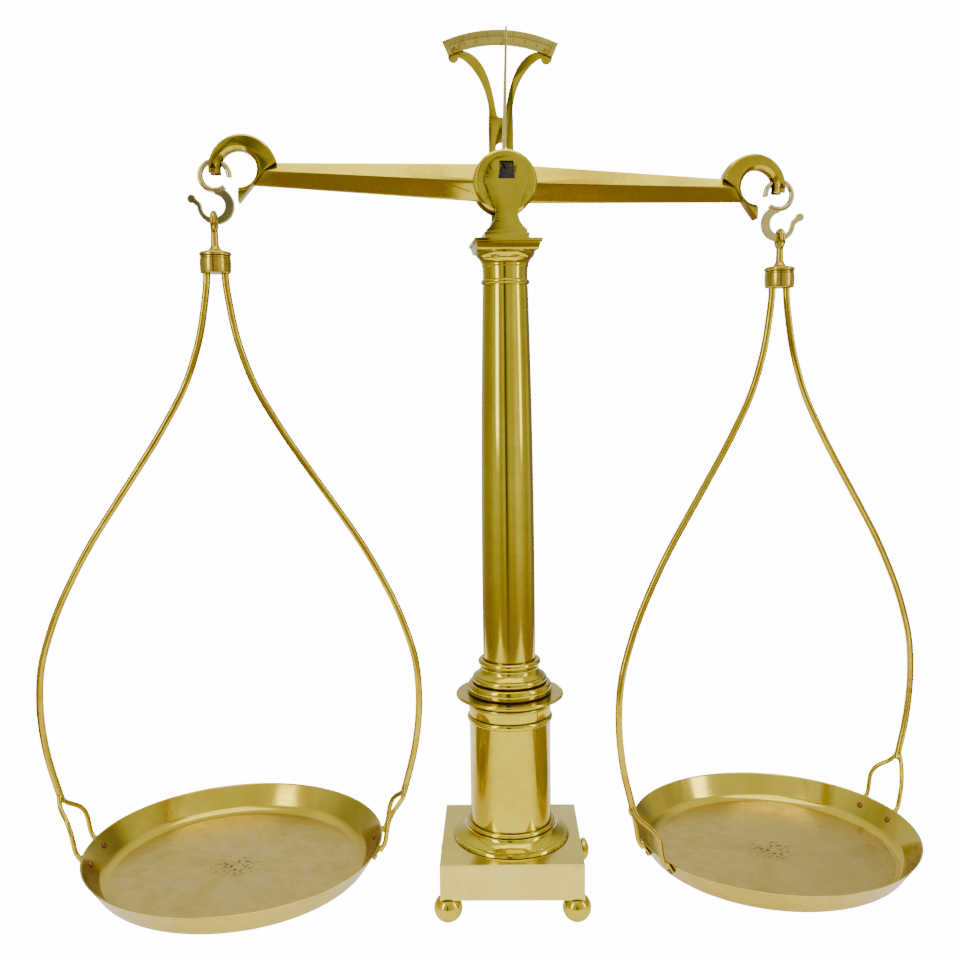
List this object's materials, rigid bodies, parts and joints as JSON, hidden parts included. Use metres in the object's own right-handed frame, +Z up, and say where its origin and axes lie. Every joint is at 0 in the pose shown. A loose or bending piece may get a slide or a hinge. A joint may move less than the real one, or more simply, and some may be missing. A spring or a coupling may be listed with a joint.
{
  "type": "column beam scale",
  "caption": "Brass beam scale on a turned column with a needle and arc plate, and two round pans hanging from bowed rods, hooks and swivels.",
  "frame": {"origin": "on the column's axis, at the level that the four ball feet stand on", "axes": "+X along the level beam towards the right pan, +Y to the back, where the scale plate's bracket is, +Z up the column"},
  "size_m": [0.6609, 0.209, 0.617],
  "materials": {
    "brass": "polished with patina in the joints",
    "pan_brass": "spun, worn and stained",
    "rod_brass": "polished wire",
    "rivet_copper": "domed copper-coloured rivets",
    "steel": "hardened and blackened"
  },
  "bodies": {
    "base": {"foot_front_left": "brass", "foot_front_right": "brass", "foot_back_left": "brass", "foot_back_right": "brass", "plinth": "brass", "base_moulding": "brass", "pedestal_drum": "brass", "pedestal_brim": "brass", "column_base": "brass", "column_shaft": "brass", "capital": "brass", "fork": "brass", "bearing_front": "steel", "bearing_back": "steel", "scale_bracket": "brass", "scale_plate": "brass", "plate_screws": "brass", "bracket_screws": "steel", "tie_tube": "steel", "tie_washer": "steel", "tie_nut": "steel", "arbor_bush": "brass"},
    "lift_knob": {"side_knob": "brass", "lift_arbor": "steel", "lift_cam": "steel"},
    "lifter": {"lift_rod": "steel", "lift_pad": "steel"},
    "beam": {"beam_arms": "brass", "boss_plate_front": "brass", "boss_plate_back": "brass", "boss_pins": "steel", "centre_knife": "steel", "needle": "brass", "left_swan_neck": "brass", "right_swan_neck": "brass", "left_end_knife": "steel", "right_end_knife": "steel"},
    "left_hook": {"left_hook": "brass"},
    "left_eye": {"left_eye_bolt": "brass", "left_swivel_nut": "brass"},
    "left_hanger": {"left_ferrule": "brass", "left_outer_rod": "rod_brass", "left_inner_rod": "rod_brass", "left_pan": "pan_brass", "left_pan_rivets": "rivet_copper"},
    "right_hook": {"right_hook": "brass"},
    "right_eye": {"right_eye_bolt": "brass", "right_swivel_nut": "brass"},
    "right_hanger": {"right_ferrule": "brass", "right_outer_rod": "rod_brass", "right_inner_rod": "rod_brass", "right_pan": "pan_brass", "right_pan_rivets": "rivet_copper"}
  },
  "joints": [
    {"name": "lift_knob_turn", "type": "hinge", "parent": "base", "child": "lift_knob", "pos_m": [0, 0, 0.03], "axis": [-0.9936, 0.1132, 0], "range_deg": [0, 180]},
    {"name": "lifter_rise", "type": "slide", "parent": "base", "child": "lifter", "axis": [0, 0, 1], "range_m": [0, 0.0032]},
    {"name": "beam_pivot", "type": "hinge", "parent": "base", "child": "beam", "pos_m": [0, 0, 0.5165], "axis": [0, 1, 0], "range_deg": [-2.6, 2.6]},
    {"name": "left_hook_swing", "type": "hinge", "parent": "beam", "child": "left_hook", "pos_m": [-0.19694, 0, 0.52155], "axis": [0, 1, 0], "range_deg": [-0.7, 15]},
    {"name": "left_eye_swing", "type": "hinge", "parent": "left_hook", "child": "left_eye", "pos_m": [-0.19829, 0, 0.48595], "axis": [1, 0, 0], "range_deg": [-8, 8]},
    {"name": "left_pan_swivel", "type": "hinge", "parent": "left_eye", "child": "left_hanger", "pos_m": [-0.19829, 0, 0.46054], "axis": [0, 0, 1], "continuous": true},
    {"name": "right_hook_swing", "type": "hinge", "parent": "beam", "child": "right_hook", "pos_m": [0.19689, 0, 0.50986], "axis": [0, 1, 0], "range_deg": [-15, 0.7]},
    {"name": "right_eye_swing", "type": "hinge", "parent": "right_hook", "child": "right_eye", "pos_m": [0.19824, 0, 0.47426], "axis": [1, 0, 0], "range_deg": [-8, 8]},
    {"name": "right_pan_swivel", "type": "hinge", "parent": "right_eye", "child": "right_hanger", "pos_m": [0.19824, 0, 0.44886], "axis": [0, 0, 1], "continuous": true}
  ],
  "couplings": [
    {"joint": "lift_knob_turn", "follows": "lifter_rise", "rad_per_m": 981.75}
  ]
}
